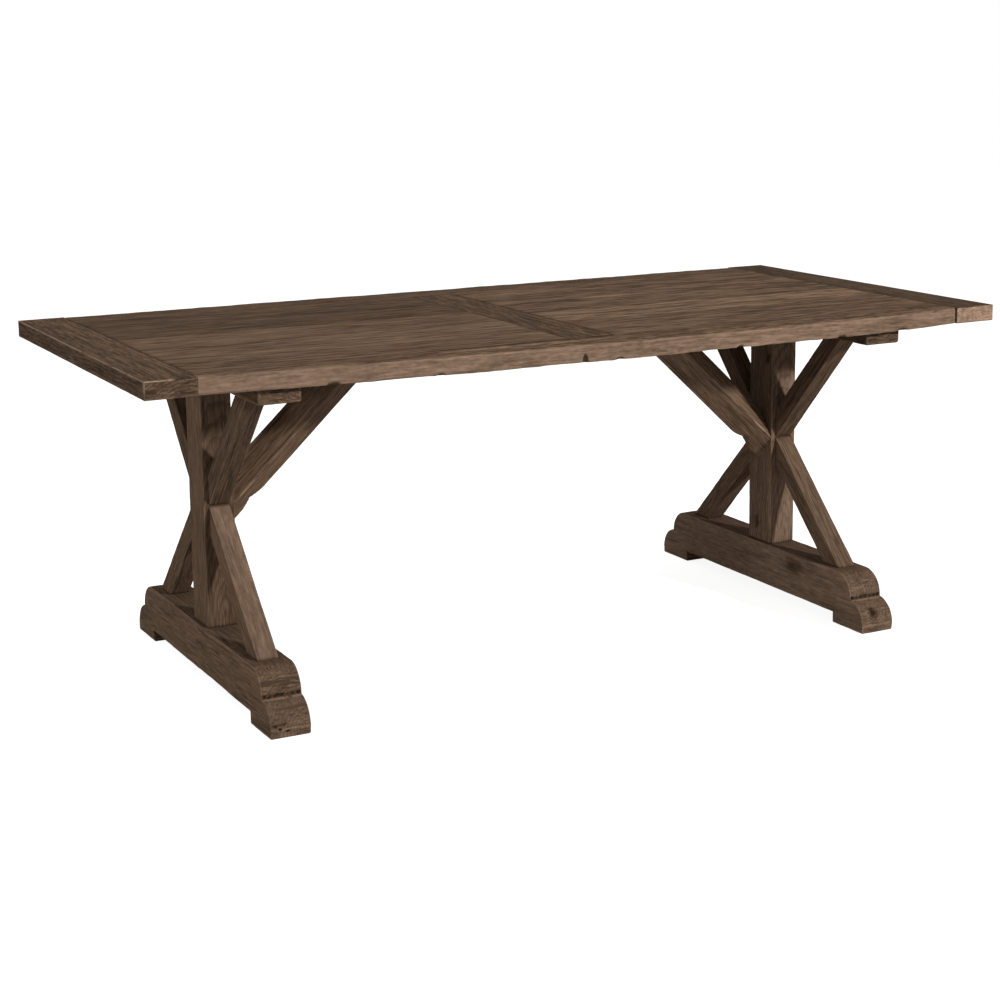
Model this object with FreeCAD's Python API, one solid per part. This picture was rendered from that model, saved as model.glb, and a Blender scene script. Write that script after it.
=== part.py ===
import FreeCAD, Part
import math
import os

Vec = FreeCAD.Vector

# Sawbuck table in millimetres: X along its length, Y across its depth, Z up.
# The origin is on the floor, under the middle of the top.

# Overall size
table_length = 2100.0
table_width = 975.0
table_height = 780.0

# Top: breadboard ends, long edge boards, a cross board and two panels of random-width planks
top_thickness = 38.0
breadboard_width = 110.0
cross_board_width = 112.0
cross_board_shift = -24.0
front_edge_width = 46.0
back_edge_width = 98.0
edge_setback = 4.0
edge_round = 8.0
edge_ease = 3.0
arris_ease = 1.2
left_plank_widths = [137.5, 190.0, 170.0, 165.0, 160.5]
right_plank_widths = [232.5, 165.0, 165.0, 140.0, 120.5]

# Tongue and groove joints of the top
tongue_length = 20.0
tongue_thickness = 12.0
groove_stop = 30.0
cross_tenon_width = 60.0
cross_tenon_length = 18.0
peg_width = 8.0
peg_length = 29.0
peg_end_margin = 77.0

# Trestles
trestle_inset = 294.0
foot_setback = 37.5
foot_width = 90.0
foot_height = 132.0
pad_length = 118.0
pad_height = 26.0
toe_height = 20.0
lobe_drop = 4.0
lobe_inset = 4.0
post_width = 72.0
post_depth = 98.0
post_ease = 3.0
foot_tenon_depth = 60.0
bearer_tenon_depth = 24.0
tenon_width = 32.0
tenon_depth_across = 60.0
knot_height = 412.0
arm_width = 48.0
arm_thickness = 48.0
arm_ease = 3.0
upper_arm_setback = 127.0
lower_arm_setback = 121.0
bearer_setback = 42.5
bearer_width = 96.0
bearer_thickness = 40.0
bearer_ease = 5.0

# Longitudinal braces: square beams on their diagonal, with one arris to the front and one below
brace_angle = 43.0
brace_side = 67.0
brace_lobe_start = 95.0
brace_cusp_out = 49.0
brace_cusp_rise = 18.0
brace_tip_rise = 3.0
brace_upper_bulge = 2.7
brace_lower_bulge = 8.0

# Loose tenons and bolts
loose_tenon_length = 60.0
loose_tenon_thickness = 12.0
arm_tenon_width = 30.0
brace_tenon_width = 36.0
brace_top_tenon_run = 30.0
brace_top_tenon_drop = 22.0
brace_top_tenon_rise = 20.0
bolt_radius = 4.0
bolt_head_flats = 13.0
bolt_head_height = 5.5
bolt_bite = 24.0
bolt_arm_margin = 42.0
bolt_post_margin = 101.0
joint_clearance = 0.2

# Levels and places that follow from the sizes above
top_underside = table_height - top_thickness
bearer_underside = top_underside - bearer_thickness
breadboard_inner = table_length / 2 - breadboard_width
panel_front = -table_width / 2 + edge_setback + front_edge_width
panel_back = table_width / 2 - edge_setback - back_edge_width
cross_left = cross_board_shift - cross_board_width / 2
cross_right = cross_board_shift + cross_board_width / 2
tongue_low = top_underside + (top_thickness - tongue_thickness) / 2
tongue_high = tongue_low + tongue_thickness
trestle_x = table_length / 2 - trestle_inset
foot_half = table_width / 2 - foot_setback
bearer_half = table_width / 2 - bearer_setback
upper_arm_reach = bearer_half - upper_arm_setback
lower_arm_reach = foot_half - lower_arm_setback
brace_slope = math.tan(math.radians(brace_angle))
brace_half_diagonal = brace_side / math.sqrt(2)
brace_seat_bottom = knot_height - brace_half_diagonal / math.cos(math.radians(brace_angle))
brace_top_out = (top_underside - knot_height) / brace_slope
post_face = trestle_x - post_width / 2


def block(x0, x1, y0, y1, z0, z1):
    """A box between two corners."""
    return Part.makeBox(x1 - x0, y1 - y0, z1 - z0, Vec(x0, y0, z0))


def rod(radius, start, end):
    """A round bar from one point to another."""
    axis = end - start
    return Part.makeCylinder(radius, axis.Length, start, axis)


def prism(edges, depth):
    """A solid with the outline that the edges close, drawn out along a vector."""
    return Part.Face(Part.Wire(Part.__sortEdges__(edges))).extrude(depth)


def line(start, end):
    return Part.LineSegment(start, end).toShape()


def arc(start, middle, end):
    return Part.Arc(start, middle, end).toShape()


def polygon(points):
    """The straight edges of a closed outline."""
    return [line(points[i - 1], points[i]) for i in range(len(points))]


def runs_along(edge, direction):
    """True for a straight edge in the given direction."""
    ends = [vertex.Point for vertex in edge.Vertexes]
    if len(ends) < 2:
        return False
    way = ends[1] - ends[0]
    return way.cross(direction).Length < 1e-6 * way.Length * direction.Length


def at_height(edge, z):
    """True for an edge that lies level at a height."""
    return abs(edge.BoundBox.ZMin - z) < 1e-6 and abs(edge.BoundBox.ZMax - z) < 1e-6


def chamfered(shape, size, wanted):
    """The shape with a chamfer on each edge that passes the test."""
    return shape.makeChamfer(size, [edge for edge in shape.Edges if wanted(edge)])


def grown(x0, x1, y0, y1, z0, z1):
    """The hole for a tongue or tenon: its box with the joint's clearance all round."""
    c = joint_clearance
    return block(x0 - c, x1 + c, y0 - c, y1 + c, z0 - c, z1 + c)


# Loose tenons and bolts, each with the hole that takes it
def bolt(x, y):
    """A hexagon-headed bolt that points up through a bearer into the top."""
    corner = bolt_head_flats / 2 / math.cos(math.radians(30))
    points = []
    for i in range(6):
        turn = math.radians(60 * i)
        points.append(Vec(x + corner * math.cos(turn), y + corner * math.sin(turn), bearer_underside))
    head = prism(polygon(points), Vec(0, 0, -bolt_head_height))
    shank = rod(bolt_radius, Vec(x, y, bearer_underside), Vec(x, y, top_underside + bolt_bite))
    return head.fuse(shank).removeSplitter()


def bolt_hole(x, y):
    mouth = Vec(x, y, bearer_underside - joint_clearance)
    return rod(bolt_radius + joint_clearance, mouth, Vec(x, y, top_underside + bolt_bite + joint_clearance))


def loose_tenon(centre, direction, across, width):
    """A flat loose tenon centred on a joint, along a direction, and its pocket."""
    along = Vec(direction).normalize()
    normal = along.cross(across)

    def bar(margin):
        half_length = along * (loose_tenon_length / 2 + margin)
        half_thickness = normal * (loose_tenon_thickness / 2 + margin)
        half_width = across * (width / 2 + margin)
        corner = centre - half_width
        outline = [
            corner - half_length - half_thickness,
            corner + half_length - half_thickness,
            corner + half_length + half_thickness,
            corner - half_length + half_thickness,
        ]
        return prism(polygon(outline), half_width * 2)

    return bar(0), bar(joint_clearance)


def bored(shape, holes):
    """The shape with every hole that reaches it cut out."""
    near = [hole for hole in holes if hole.BoundBox.intersect(shape.BoundBox)]
    return shape.cut(near) if near else shape


# Top
def bolt_places(side):
    """The bolts of one bearer, on its middle line: beyond the arms, and between the arms and the post."""
    inner = post_depth / 2 + bolt_post_margin
    outer = upper_arm_reach + bolt_arm_margin
    return [(side * trestle_x, y) for y in (-outer, -inner, inner, outer)]


def brace_top_tenon(side, make):
    """The upright loose tenon between a brace's upper end and the top, or its pocket."""
    out = brace_top_out - brace_top_tenon_drop / 2 / brace_slope
    x = side * (post_face - out)
    run = brace_top_tenon_run / 2
    half = brace_tenon_width / 2
    low = top_underside - brace_top_tenon_drop
    return make(x - run, x + run, -half, half, low, top_underside + brace_top_tenon_rise)


def peg_places():
    """Peg positions along both breadboards, in the middle of the tongues."""
    x = breadboard_inner + tongue_length / 2
    outer = table_width / 2 - groove_stop - peg_end_margin
    return [(side * x, y) for side in (-1, 1) for y in (-outer, 0, outer)]


def peg(x, y, make):
    """A square peg driven up from below through a tongue, or its hole."""
    half = peg_width / 2
    return make(x - half, x + half, y - half, y + half, top_underside, top_underside + peg_length)


def top_holes():
    """Every hole that enters the top from below."""
    holes = [peg(x, y, grown) for x, y in peg_places()]
    for side in (-1, 1):
        holes.append(brace_top_tenon(side, grown))
        holes += [bolt_hole(x, y) for x, y in bolt_places(side)]
    return holes


def breadboard(side):
    """One end board, with a stopped groove along its inner face."""
    inner = side * breadboard_inner
    outer = side * table_length / 2
    low, high = min(inner, outer), max(inner, outer)
    half = table_width / 2
    board = block(low, high, -half, half, top_underside, table_height)
    board = chamfered(board, arris_ease, lambda edge: at_height(edge, table_height))
    bottom = inner + side * tongue_length
    groove_half = half - groove_stop
    return board.cut(
        grown(min(inner, bottom), max(inner, bottom), -groove_half, groove_half, tongue_low, tongue_high)
    )


def plank(x0, x1, y0, y1):
    """A plank between two joints, with a tongue at both ends."""
    board = block(x0, x1, y0, y1, top_underside, table_height)
    board = chamfered(board, arris_ease, lambda edge: at_height(edge, table_height))
    tongue = block(x0 - tongue_length, x1 + tongue_length, y0, y1, tongue_low, tongue_high)
    return board.fuse(tongue).removeSplitter()


def edge_board(front):
    """A long edge board: round on its outer top arris, with end tongues and a mortise for the cross board."""
    width = front_edge_width if front < 0 else back_edge_width
    outer = front * (table_width / 2 - edge_setback)
    inner = outer - front * width
    low, high = min(inner, outer), max(inner, outer)
    x = breadboard_inner
    board = block(-x, x, low, high, top_underside, table_height)

    def outer_arris(edge, z):
        return at_height(edge, z) and abs(edge.CenterOfMass.y - outer) < 1e-6

    board = board.makeFillet(edge_round, [e for e in board.Edges if outer_arris(e, table_height)])
    board = chamfered(board, edge_ease, lambda edge: outer_arris(edge, top_underside))
    board = chamfered(
        board,
        arris_ease,
        lambda edge: at_height(edge, table_height) and abs(edge.CenterOfMass.y - inner) < 1e-6,
    )
    tongue_end = front * (table_width / 2 - groove_stop)
    tongue = block(
        -x - tongue_length,
        x + tongue_length,
        min(inner, tongue_end),
        max(inner, tongue_end),
        tongue_low,
        tongue_high,
    )
    return board.fuse(tongue).removeSplitter().cut(cross_tenon(front, grown))


def cross_tenon(front, make):
    """The tenon on one end of the cross board, or its mortise."""
    width = front_edge_width if front < 0 else back_edge_width
    shoulder = front * (table_width / 2 - edge_setback - width)
    tip = shoulder + front * cross_tenon_length
    half = cross_tenon_width / 2
    return make(
        cross_board_shift - half,
        cross_board_shift + half,
        min(shoulder, tip),
        max(shoulder, tip),
        tongue_low,
        tongue_high,
    )


def cross_board():
    """The board between the panels, grooved on both sides and tenoned into the long edge boards."""
    board = block(cross_left, cross_right, panel_front, panel_back, top_underside, table_height)
    board = chamfered(board, arris_ease, lambda edge: at_height(edge, table_height))
    board = board.fuse([cross_tenon(-1, block), cross_tenon(1, block)]).removeSplitter()
    for mouth, inward in ((cross_left, 1), (cross_right, -1)):
        bottom = mouth + inward * tongue_length
        board = board.cut(
            grown(min(mouth, bottom), max(mouth, bottom), panel_front, panel_back, tongue_low, tongue_high)
        )
    return board


def panel(x0, x1, widths):
    """Planks from front to back, ripped in proportion to fill the panel."""
    fill = (panel_back - panel_front) / sum(widths)
    planks = []
    seam = panel_front
    for width in widths:
        planks.append(plank(x0, x1, seam, seam + width * fill))
        seam += width * fill
    return planks


def build_top():
    boards = {
        "breadboard_left": breadboard(-1),
        "breadboard_right": breadboard(1),
        "edge_board_front": edge_board(-1),
        "edge_board_back": edge_board(1),
        "cross_board": cross_board(),
    }
    for i, board in enumerate(panel(-breadboard_inner, cross_left, left_plank_widths)):
        boards["plank_left_%d" % (i + 1)] = board
    for i, board in enumerate(panel(cross_right, breadboard_inner, right_plank_widths)):
        boards["plank_right_%d" % (i + 1)] = board
    holes = top_holes()
    pieces = {name: bored(board, holes) for name, board in boards.items()}
    pieces["breadboard_pegs"] = Part.Compound([peg(x, y, block) for x, y in peg_places()])
    return pieces


# Trestles
def foot_outline(x):
    """Side view of a foot: relieved between two pads, with a double-lobed scroll at each end."""
    half = foot_half
    radius = (foot_height - toe_height - lobe_drop) / 2
    lower_centre = Vec(x, half - radius, toe_height)
    upper_end = lower_centre.y + lobe_inset
    upper_centre = Vec(x, upper_end - radius, foot_height - radius)
    crest = toe_height + math.sqrt(radius**2 - lobe_inset**2)
    diagonal = radius * math.sqrt(0.5)
    pad = half - pad_length
    edges = []
    for end in (-1, 1):

        def at(y, z):
            return Vec(x, end * y, z)

        edges += [
            line(at(pad, pad_height), at(pad, 0)),
            line(at(pad, 0), at(half, 0)),
            line(at(half, 0), at(half, toe_height)),
            arc(
                at(half, toe_height),
                at(lower_centre.y + diagonal, lower_centre.z + diagonal),
                at(upper_end, crest),
            ),
            line(at(upper_end, crest), at(upper_end, upper_centre.z)),
            arc(
                at(upper_end, upper_centre.z),
                at(upper_centre.y + diagonal, upper_centre.z + diagonal),
                at(upper_centre.y, foot_height),
            ),
        ]
    edges.append(line(Vec(x, -pad, pad_height), Vec(x, pad, pad_height)))
    edges.append(line(Vec(x, -upper_centre.y, foot_height), Vec(x, upper_centre.y, foot_height)))
    return edges


def post_tenon(x, z0, z1, make):
    """A post's tenon, or its mortise."""
    across = tenon_depth_across / 2
    return make(x - tenon_width / 2, x + tenon_width / 2, -across, across, z0, z1)


def foot(x):
    body = prism(foot_outline(x - foot_width / 2), Vec(foot_width, 0, 0))
    return body.cut(post_tenon(x, foot_height - foot_tenon_depth, foot_height, grown))


def bearer(x):
    half = bearer_half
    side = bearer_width / 2
    board = block(x - side, x + side, -half, half, bearer_underside, top_underside)
    board = chamfered(board, bearer_ease, lambda edge: at_height(edge, bearer_underside))
    return board.cut(post_tenon(x, bearer_underside, bearer_underside + bearer_tenon_depth, grown))


def post(x):
    side = post_width / 2
    depth = post_depth / 2
    shaft = block(x - side, x + side, -depth, depth, foot_height, bearer_underside)
    shaft = chamfered(shaft, post_ease, lambda edge: runs_along(edge, Vec(0, 0, 1)))
    low = post_tenon(x, foot_height - foot_tenon_depth, foot_height, block)
    high = post_tenon(x, bearer_underside, bearer_underside + bearer_tenon_depth, block)
    return shaft.fuse([low, high]).removeSplitter()


def arm(x, front, reach, end_z):
    """One arm of the X from the knot on the post to the bearer or the foot, with its two loose tenons.

    Its outer face starts at the knot line on the post and ends at the reach. Both ends are cut to seat flat.
    """
    start = Vec(x - arm_width / 2, front * post_depth / 2, knot_height)
    end = Vec(start.x, front * reach, end_z)
    way = end - start
    seat_rise = arm_thickness * way.Length / abs(way.y) * math.copysign(1, way.z)
    seat_run = arm_thickness * way.Length / abs(way.z) * front
    outline = polygon([start, end, end - Vec(0, seat_run, 0), start + Vec(0, 0, seat_rise)])
    body = prism(outline, Vec(arm_width, 0, 0))
    body = chamfered(body, arm_ease, lambda edge: runs_along(edge, way))
    at_post = Vec(x, start.y, start.z + seat_rise / 2)
    at_end = Vec(x, end.y - seat_run / 2, end.z)
    across = Vec(1, 0, 0)
    return body, [loose_tenon(place, way, across, arm_tenon_width) for place in (at_post, at_end)]


def brace_beam(side):
    """The square beam of a brace, on its diagonal, from inside the post to inside the top."""
    angle = math.radians(brace_angle)
    way = Vec(-side * math.cos(angle), 0, math.sin(angle))
    above = Vec(side * math.sin(angle), 0, math.cos(angle)) * brace_half_diagonal
    behind = Vec(0, brace_half_diagonal, 0)
    start = Vec(side * post_face, 0, knot_height) - way * brace_side
    length = (top_underside - knot_height) / way.z + 2 * brace_side
    return prism(polygon([start - above, start - behind, start + above, start + behind]), way * length)


def brace_scroll(side):
    """What the saw takes off under a brace's lower end to leave its two lobes."""

    def at(out, z):
        return Vec(side * (post_face - out), -brace_side, z)

    def lobe(start, end, bulge):
        chord = (end - start).normalize()
        down = Vec(chord.z, 0, -chord.x) * side
        return arc(start, (start + end) * 0.5 + down * bulge, end)

    def arris(out):
        return brace_seat_bottom + out * brace_slope

    shoulder = at(brace_lobe_start, arris(brace_lobe_start))
    cusp = at(brace_cusp_out, arris(brace_cusp_out) + brace_cusp_rise)
    tip = at(0, brace_seat_bottom + brace_tip_rise)
    below = brace_seat_bottom - brace_side
    edges = [
        lobe(shoulder, cusp, brace_upper_bulge),
        lobe(cusp, tip, brace_lower_bulge),
        line(tip, at(0, below)),
        line(at(0, below), at(brace_lobe_start, below)),
        line(at(brace_lobe_start, below), shoulder),
    ]
    return prism(edges, Vec(0, 2 * brace_side, 0))


def brace(side):
    """A longitudinal brace from the post's inner face up to the top, with its lower loose tenon."""
    inner = side * post_face
    room = block(min(inner, 0), max(inner, 0), -brace_side, brace_side, 0, top_underside)
    body = brace_beam(side).common(room).cut(brace_scroll(side))
    seat = Vec(inner, 0, knot_height)
    top = Vec(side * (post_face - brace_top_out), 0, top_underside)
    return body, loose_tenon(seat, top - seat, Vec(0, 1, 0), brace_tenon_width)


def build_trestle(name, side):
    x = side * trestle_x
    arm_joints = []
    bodies = {"post_" + name: post(x), "foot_" + name: foot(x), "bearer_" + name: bearer(x)}
    for place, front in (("front", -1), ("back", 1)):
        for level, reach, end_z in (
            ("upper", upper_arm_reach, bearer_underside),
            ("lower", lower_arm_reach, foot_height),
        ):
            body, joints = arm(x, front, reach, end_z)
            bodies["%s_arm_%s_%s" % (level, place, name)] = body
            arm_joints += joints
    bodies["brace_" + name], brace_joint = brace(side)

    holes = [hole for pin, hole in arm_joints + [brace_joint]]
    holes.append(brace_top_tenon(side, grown))
    holes += [bolt_hole(px, py) for px, py in bolt_places(side)]
    pieces = {node: bored(body, holes) for node, body in bodies.items()}
    pieces["arm_tenons_" + name] = Part.Compound([pin for pin, hole in arm_joints])
    pieces["brace_tenons_" + name] = Part.Compound([brace_joint[0], brace_top_tenon(side, block)])
    pieces["bearer_bolts_" + name] = Part.Compound([bolt(px, py) for px, py in bolt_places(side)])
    return pieces


nodes = build_top()
nodes.update(build_trestle("left", -1))
nodes.update(build_trestle("right", 1))

os.makedirs("parts", exist_ok=True)
for node, shape in nodes.items():
    if not shape.isValid():
        raise ValueError("invalid solid: " + node)
    shape.exportStep("parts/%s.step" % node)
    print("%-24s solids %d  volume %.0f" % (node, len(shape.Solids), shape.Volume))
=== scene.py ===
import math
import random

import bpy
import numpy as np
from mathutils import Matrix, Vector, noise


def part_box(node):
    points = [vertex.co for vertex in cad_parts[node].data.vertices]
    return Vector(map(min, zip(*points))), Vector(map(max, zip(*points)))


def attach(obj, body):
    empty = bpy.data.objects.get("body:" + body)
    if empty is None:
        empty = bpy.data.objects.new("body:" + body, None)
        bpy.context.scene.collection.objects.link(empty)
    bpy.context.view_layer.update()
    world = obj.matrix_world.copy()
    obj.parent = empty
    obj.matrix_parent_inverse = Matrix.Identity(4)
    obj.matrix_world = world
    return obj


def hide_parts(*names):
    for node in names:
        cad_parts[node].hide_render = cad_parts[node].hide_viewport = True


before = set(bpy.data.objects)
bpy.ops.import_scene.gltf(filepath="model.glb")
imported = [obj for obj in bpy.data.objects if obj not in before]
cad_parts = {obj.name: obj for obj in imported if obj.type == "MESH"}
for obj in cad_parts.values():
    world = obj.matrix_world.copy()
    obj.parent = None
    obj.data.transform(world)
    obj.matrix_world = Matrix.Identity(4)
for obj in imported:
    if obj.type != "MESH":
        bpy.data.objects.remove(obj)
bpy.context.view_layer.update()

# Weathered sawbuck table in metres: X along its length, Y across its depth, Z up.
# Every board is a worn timber mesh that stands for the CAD node of the same name.

Y, Z = np.eye(3)[1:]

# Half of a joint's gap, and the steps round an arris
seam = 0.0003
arc_steps = 4

# How far wear and dirt reach from an arris, and painted shade from an end where it meets another timber
wear_reach = 0.0016
dirt_and_shade_reach = 0.004

# Drying cracks: their depth, how far they wander, and the depth from which they are fully dark
crack_depth = 0.004
crack_wander = 0.003
dark_depth = 0.001

# Growth rings
rings_per_metre = 130.0

# Shapes that a node's box doesn't give
toe_height = 0.020
lobe_drop = 0.004
lobe_inset = 0.004
pad_length = 0.118
pad_height = 0.026
arm_thickness = 0.048
brace_angle = math.radians(43)
brace_side = 0.067
brace_lobe_start = 0.095
brace_cusp_out = 0.049
brace_cusp_rise = 0.018
brace_tip_rise = 0.003
brace_upper_bulge = 0.0027
brace_lower_bulge = 0.008
front_sag = 0.0095

# Middle of the dark stretch of the front edge board's seam
dark_seam_x = -0.20


# Noise along a line and through space
def wavy(distance, waves, seed):
    """Smooth noise along a line, with a number of waves per metre."""
    return np.array([noise.noise((d * waves, seed, 0.37)) for d in distance])


def ripple(points, along, across, seed):
    """Smooth noise in a timber, with a number of waves per metre along and across the grain."""
    scaled = points * np.array((along, across, across)) + seed
    return np.array([noise.noise(p) for p in scaled.tolist()])


# Columns of vertices round a timber
def fractions(count, tight_start, tight_end):
    """Shares of an interval, closer together at an end that meets an arris. The end itself is left out."""
    t = np.arange(count) / count
    if tight_start and tight_end:
        return 0.5 - 0.5 * np.cos(math.pi * t)
    if tight_start:
        return 1 - np.cos(math.pi / 2 * t)
    if tight_end:
        return np.sin(math.pi / 2 * t)
    return t


def interval_steps(low, high, checks, steps):
    """How many steps each stretch of a side gets: two for each check, the rest shared out by width."""
    edges = [low] + [check["at"] for check in checks] + [high]
    counts = []
    for i in range(len(edges) - 1):
        counts.append(max(2, round(steps * (edges[i + 1] - edges[i]) / (high - low))))
        if i < len(checks):
            counts += [1, 1]
    return counts


def side_columns(start, stop, checks, side, distance, counts):
    """Places of a side's vertices between its arrises at every station, and how deep checks sink them."""
    zero = np.zeros_like(start)
    edges = [start]
    sinks = [zero]
    for check in checks:
        t = np.clip((distance - check["from"]) / (check["to"] - check["from"]), 0, 1)
        gape = np.sqrt(np.maximum(np.sin(math.pi * t), 0)) if check["side"] == side else zero
        middle = check["at"] + crack_wander * wavy(distance, 8, check["at"] * 90)
        half = 0.0002 + check["width"] / 2 * gape
        edges += [middle - half, middle, middle + half]
        sinks += [zero, crack_depth * gape, zero]
    edges.append(stop)
    sinks.append(zero)
    places = []
    depths = []
    last = len(counts) - 1
    for i, count in enumerate(counts):
        for t in fractions(count, i == 0, i == last):
            places.append(edges[i] + (edges[i + 1] - edges[i]) * t)
            depths.append(sinks[i] if t == 0 else zero)
    return places[1:], depths[1:]


def eased_ends(bottom, top, low, high, slant, ease):
    """The stations with both ends rounded over: each end gets two more stations, drawn in."""
    middle = (bottom + top) / 2
    rows = [(bottom[i], top[i], low[i], high[i], slant[i], 0.0) for i in range(1, len(bottom) - 1)]
    for end, inner in ((0, 1), (-1, -2)):
        way = middle[inner] - middle[end]
        way = way / np.linalg.norm(way) * ease
        drawn = []
        for shift, inset in ((0.0, 1.0), (0.3, 0.3), (1.0, 0.0)):
            points = (bottom[end] + way * shift, top[end] + way * shift)
            drawn.append((*points, low[end], high[end], slant[end], inset * ease))
        rows = drawn + rows if end == 0 else rows + drawn[::-1]
    return [np.array([row[k] for row in rows]) for k in range(6)]


def cap(ring_points, m, n):
    """Points of a grid over one end, from the ring round it: m steps wide and n steps high."""
    total = len(ring_points)
    below = ring_points[: m + 1]
    right = ring_points[m : m + n + 1]
    above = ring_points[m + n : 2 * m + n + 1][::-1]
    left = ring_points[[(total - j) % total for j in range(n + 1)]]
    grid = np.zeros((m + 1, n + 1, 3))
    reach = np.zeros((m + 1, n + 1))
    for i in range(m + 1):
        u = i / m
        for j in range(n + 1):
            v = j / n
            corners = (1 - u) * ((1 - v) * below[0] + v * above[0]) + u * ((1 - v) * below[m] + v * above[m])
            grid[i, j] = (1 - v) * below[i] + v * above[i] + (1 - u) * left[j] + u * right[j] - corners
            around = (below[i], above[i], left[j], right[j])
            reach[i, j] = min(np.linalg.norm(grid[i, j] - point) for point in around)
    return grid, reach


def worn_radii(distance, radii, worn, chips, seeds, widest):
    """Radius of each arris at every station: it wanders with wear and grows in a chip."""
    radius = np.zeros((len(distance), 4))
    for c in range(4):
        wander = 1.3 * wavy(distance, 7, seeds[c]) + 0.8 * wavy(distance, 45, seeds[c])
        radius[:, c] = radii[c] * np.clip(1 + worn * wander, 0.35, 3)
    for chip in chips:
        t = np.clip((distance - chip["at"]) / (chip["length"] / 2), -1, 1)
        ragged = 1 + 0.5 * wavy(distance, 120, chip["at"] * 31)
        radius[:, chip["arris"]] += chip["depth"] * (1 - t**4) * ragged
    return np.minimum(radius, widest[:, None])


def ring_columns(low, high, floor, ceiling, radius, distance, checks, steps, rough, bare, rub):
    """Columns of vertices along a timber, from the middle of arris 0 round to its other half.

    A column holds its places across and up, its normal, how deep it is sunk, how far it is from an arris,
    how rough it is, its share of bare wood and painted light, and how rubbed it is. The steps along the
    bottom and up a side are returned too.
    """
    centre_y = np.stack([low, high, high, low], 1) + radius * (1, -1, -1, 1)
    centre_p = np.stack([floor, floor, ceiling, ceiling], 1) + radius * (1, 1, -1, -1)
    columns = []
    zero = np.zeros(len(distance))

    def arris(c, first, last):
        for k in range(first, last + 1):
            angle = math.radians((180, 270, 0, 90)[c] + 90 * k / arc_steps)
            normal = (math.cos(angle), math.sin(angle))
            share = k / arc_steps
            kinds = [(1 - share) * values[c - 1] + share * values[c] for values in (rough, bare)]
            y = centre_y[:, c] + radius[:, c] * normal[0]
            p = centre_p[:, c] + radius[:, c] * normal[1]
            reach = radius[:, c] * abs(share - 0.5) * math.pi / 2
            columns.append((y, p, normal, zero, reach, *kinds, zero + rub[c]))

    def side(s):
        normal = ((0, -1), (1, 0), (0, 1), (-1, 0))[s]
        ends = sorted((s, (s + 1) % 4), key=lambda c: (c in (1, 2), c in (2, 3))[s % 2])
        centre = (centre_y, centre_p)[s % 2]
        start, stop = (centre[:, c] for c in ends)
        level = (centre_p, centre_y)[s % 2][:, ends] + radius[:, ends] * normal[1 - s % 2]
        own = [check for check in checks if check["side"] % 2 == s % 2]
        own.sort(key=lambda check: check["at"])
        nominal = ((low, high), (floor, ceiling))[s % 2]
        counts = interval_steps(nominal[0].mean(), nominal[1].mean(), own, steps[s % 2])
        places, depths = side_columns(start, stop, own, s, distance, counts)
        made = []
        for place, depth in zip(places, depths):
            share = (place - start) / (stop - start)
            line = level[:, 0] + (level[:, 1] - level[:, 0]) * share
            pair = (place, line) if s % 2 == 0 else (line, place)
            first = place - start + radius[:, ends[0]] * math.pi / 4
            last = stop - place + radius[:, ends[1]] * math.pi / 4
            reach = np.minimum(first, last)
            rubbed = np.where(first < last, rub[ends[0]], rub[ends[1]])
            made.append((*pair, normal, depth, reach, rough[s], bare[s], rubbed))
        columns.extend(made if s < 2 else made[::-1])
        return len(made)

    half = arc_steps // 2
    arris(0, half, arc_steps)
    m = side(0) + 1 + arc_steps
    arris(1, 0, arc_steps)
    n = side(1) + 1 + arc_steps
    arris(2, 0, arc_steps)
    side(2)
    arris(3, 0, arc_steps)
    side(3)
    arris(0, 0, half - 1)
    return columns, m, n


def skin(points, m, n):
    """Vertices and faces over the rings and both ends, and how far the ends' vertices are from an arris."""
    count, ring = points.shape[:2]
    vertices = [points.reshape(-1, 3)]
    reaches = []
    faces = []
    for i in range(count - 1):
        for j in range(ring):
            k = (j + 1) % ring
            faces.append((i * ring + j, i * ring + k, (i + 1) * ring + k, (i + 1) * ring + j))
    used = count * ring
    for end in (0, count - 1):
        grid, reach = cap(points[end], m, n)
        index = np.zeros((m + 1, n + 1), int)
        base = end * ring
        for i in range(m + 1):
            index[i, 0] = base + i
            index[i, n] = base + 2 * m + n - i
        for j in range(n + 1):
            index[0, j] = base + (ring - j) % ring
            index[m, j] = base + m + j
        index[1:m, 1:n] = used + np.arange((m - 1) * (n - 1)).reshape(m - 1, n - 1)
        used += (m - 1) * (n - 1)
        vertices.append(grid[1:m, 1:n].reshape(-1, 3))
        reaches.append(reach[1:m, 1:n].ravel())
        for i in range(m):
            for j in range(n):
                quad = (index[i, j], index[i + 1, j], index[i + 1, j + 1], index[i, j + 1])
                faces.append(tuple(int(v) for v in (quad if end else quad[::-1])))
    return np.concatenate(vertices), faces, np.concatenate(reaches)


def press(vertices, local, pits, dark, bared, wear):
    """The vertices and their marks, changed by pits."""
    for pit in pits:
        near = np.sum(((vertices - pit["at"]) / pit["size"]) ** 2, axis=1)
        ragged = 1 + 0.35 * ripple(local, 90, 90, pit["at"][0] * 40)
        cover = np.clip(1 - near * ragged, 0, 1)
        vertices = vertices + np.array(pit["push"]) * (cover**0.7)[:, None]
        cover = np.clip(cover * 2.5, 0, 1)
        dark = np.maximum(dark, pit["dark"] * cover)
        bared = np.maximum(bared, pit["bare"] * cover)
        wear = np.maximum(wear, pit["worn"] * cover)
    return vertices, dark, bared, wear


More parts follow.
